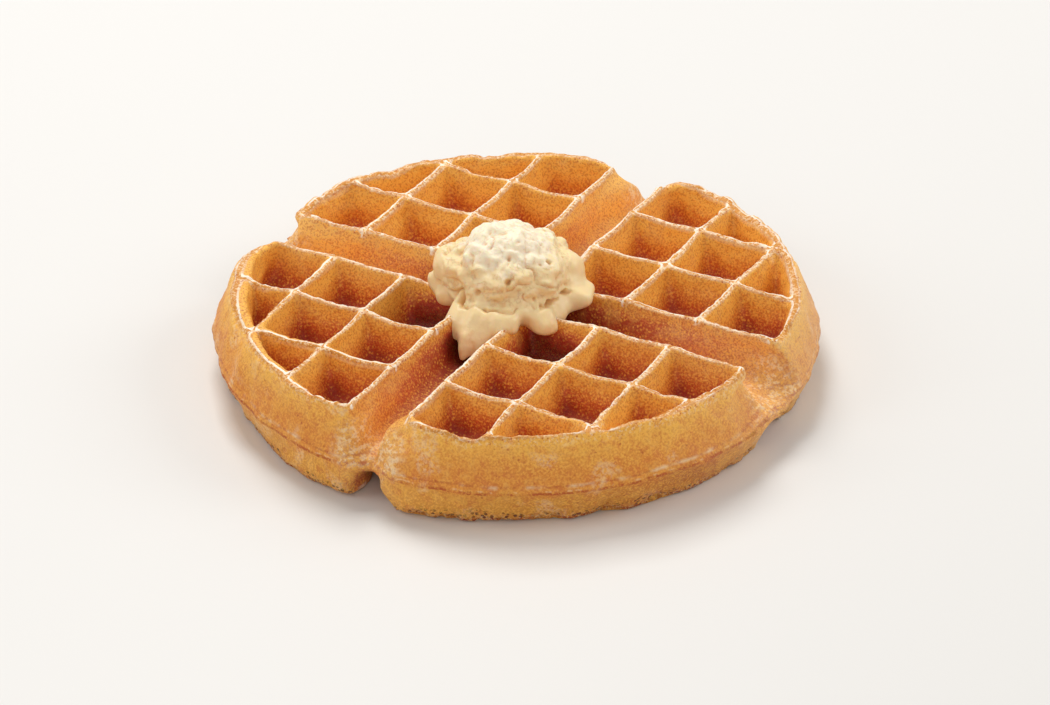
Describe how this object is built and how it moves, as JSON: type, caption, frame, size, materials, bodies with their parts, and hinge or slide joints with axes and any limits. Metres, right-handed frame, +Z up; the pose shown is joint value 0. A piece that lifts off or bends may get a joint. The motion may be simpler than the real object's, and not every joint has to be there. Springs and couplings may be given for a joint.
{
  "type": "round waffle with butter",
  "caption": "Round thick waffle with deep square pockets, parted into quarters by two wide grooves, with a scoop of whipped butter melting on its middle.",
  "frame": {"origin": "bottom centre of the part's box, on the plane of the underside ribs that it rests on", "axes": "+Z up through the waffle's centre; X and Y run along the two wide grooves that cross at the middle, the butter's long drip running towards -Y"},
  "size_m": [0.1816, 0.1784, 0.0475],
  "materials": {
    "baked_batter": "golden-brown baked crust, matte with a faint fat sheen, paler on the rib tops and redder deep in the pockets",
    "whipped_butter": "pale cream whipped butter, crumbly and soft on top, smooth and lightly glossy where it melts"
  },
  "bodies": {
    "root": {"waffle": "baked_batter", "butter": "whipped_butter"}
  },
  "joints": []
}
